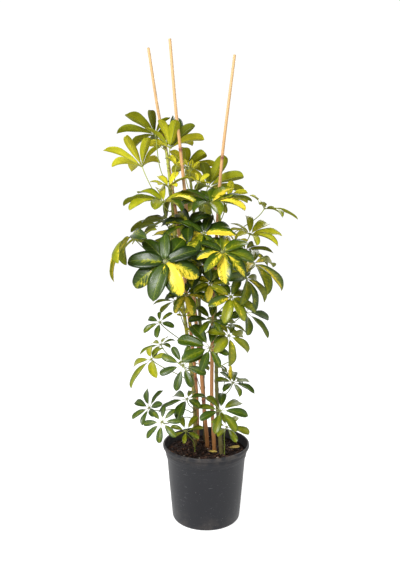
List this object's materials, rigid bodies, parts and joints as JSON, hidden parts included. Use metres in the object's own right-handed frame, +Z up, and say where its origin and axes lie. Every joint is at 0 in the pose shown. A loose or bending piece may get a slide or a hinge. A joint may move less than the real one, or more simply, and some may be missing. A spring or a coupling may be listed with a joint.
{
  "type": "potted umbrella plant",
  "caption": "Tall umbrella plant with variegated hand-shaped leaves, trained up bamboo canes in a round plastic nursery pot.",
  "frame": {"origin": "middle of the pot's flat underside, where the pot stands", "axes": "+Z up along the pot's axis; -Y is the side the plant is seen from, with the two tall canes that lean left on -X and the one that leans right on +X"},
  "size_m": [0.5172, 0.4422, 1.2813],
  "materials": {
    "pot_plastic": "charcoal moulded polypropylene, satin, lightly scuffed",
    "bark_compost": "dark red-brown composted bark and peat, moist",
    "bamboo": "dry tan bamboo, darker and more orange near the compost, smooth between nodes",
    "stem_bark": "green-brown young bark with leaf scars",
    "tie_twine": "dark red twisted garden twine",
    "leaf_green": "glossy mid-green leaf with pale midribs",
    "leaf_variegated": "glossy dark green leaf splashed with bright yellow",
    "leaf_lime": "young lime to olive green leaf, thin and light passing through",
    "leaf_dry": "dry yellow-brown shed leaflet"
  },
  "bodies": {
    "root": {"cane_left": "bamboo", "cane_middle": "bamboo", "cane_right": "bamboo", "leaf_back_high": "leaf_variegated", "leaf_back_left": "leaf_variegated", "leaf_back_low": "leaf_green", "leaf_back_right": "leaf_variegated", "leaf_back_shade": "leaf_green", "leaf_crown_inner": "leaf_lime", "leaf_crown_left": "leaf_lime", "leaf_crown_reach": "leaf_lime", "leaf_crown_skirt": "leaf_lime", "leaf_crown_tip": "leaf_lime", "leaf_heart_deep": "leaf_variegated", "leaf_heart_left": "leaf_variegated", "leaf_heart_low": "leaf_variegated", "leaf_heart_top": "leaf_variegated", "leaf_hero_left": "leaf_variegated", "leaf_hero_right": "leaf_variegated", "leaf_left_cascade": "leaf_variegated", "leaf_left_dark": "leaf_variegated", "leaf_left_low": "leaf_variegated", "leaf_left_low_back": "leaf_green", "leaf_left_low_tuft": "leaf_green", "leaf_left_spray": "leaf_lime", "leaf_left_strap": "leaf_green", "leaf_middle_low": "leaf_green", "leaf_middle_small": "leaf_green", "leaf_middle_top": "leaf_lime", "leaf_right_base": "leaf_green", "leaf_right_behind": "leaf_variegated", "leaf_right_crown": "leaf_variegated", "leaf_right_drape": "leaf_variegated", "leaf_right_droop": "leaf_variegated", "leaf_right_fold": "leaf_variegated", "leaf_right_inner_low": "leaf_green", "leaf_right_low": "leaf_green", "leaf_right_nook": "leaf_lime", "leaf_right_reach": "leaf_variegated", "leaf_right_reach_high": "leaf_variegated", "leaf_right_shoulder": "leaf_variegated", "leaf_right_sweep": "leaf_variegated", "leaf_shoot_left": "leaf_green", "leaf_shoot_right": "leaf_green", "leaf_star_left": "leaf_green", "leaf_star_low": "leaf_green", "leaf_star_middle": "leaf_green", "leaf_star_right": "leaf_green", "leaf_wisp_left": "leaf_green", "leaf_wisp_left_high": "leaf_green", "leaf_wisp_left_low": "leaf_green", "pot": "pot_plastic", "shed_leaflet_front": "leaf_dry", "shed_leaflet_right": "leaf_dry", "soil": "bark_compost", "stem_left": "stem_bark", "stem_middle": "stem_bark", "stem_right": "stem_bark", "tie_left": "tie_twine", "tie_right": "tie_twine"}
  },
  "joints": []
}
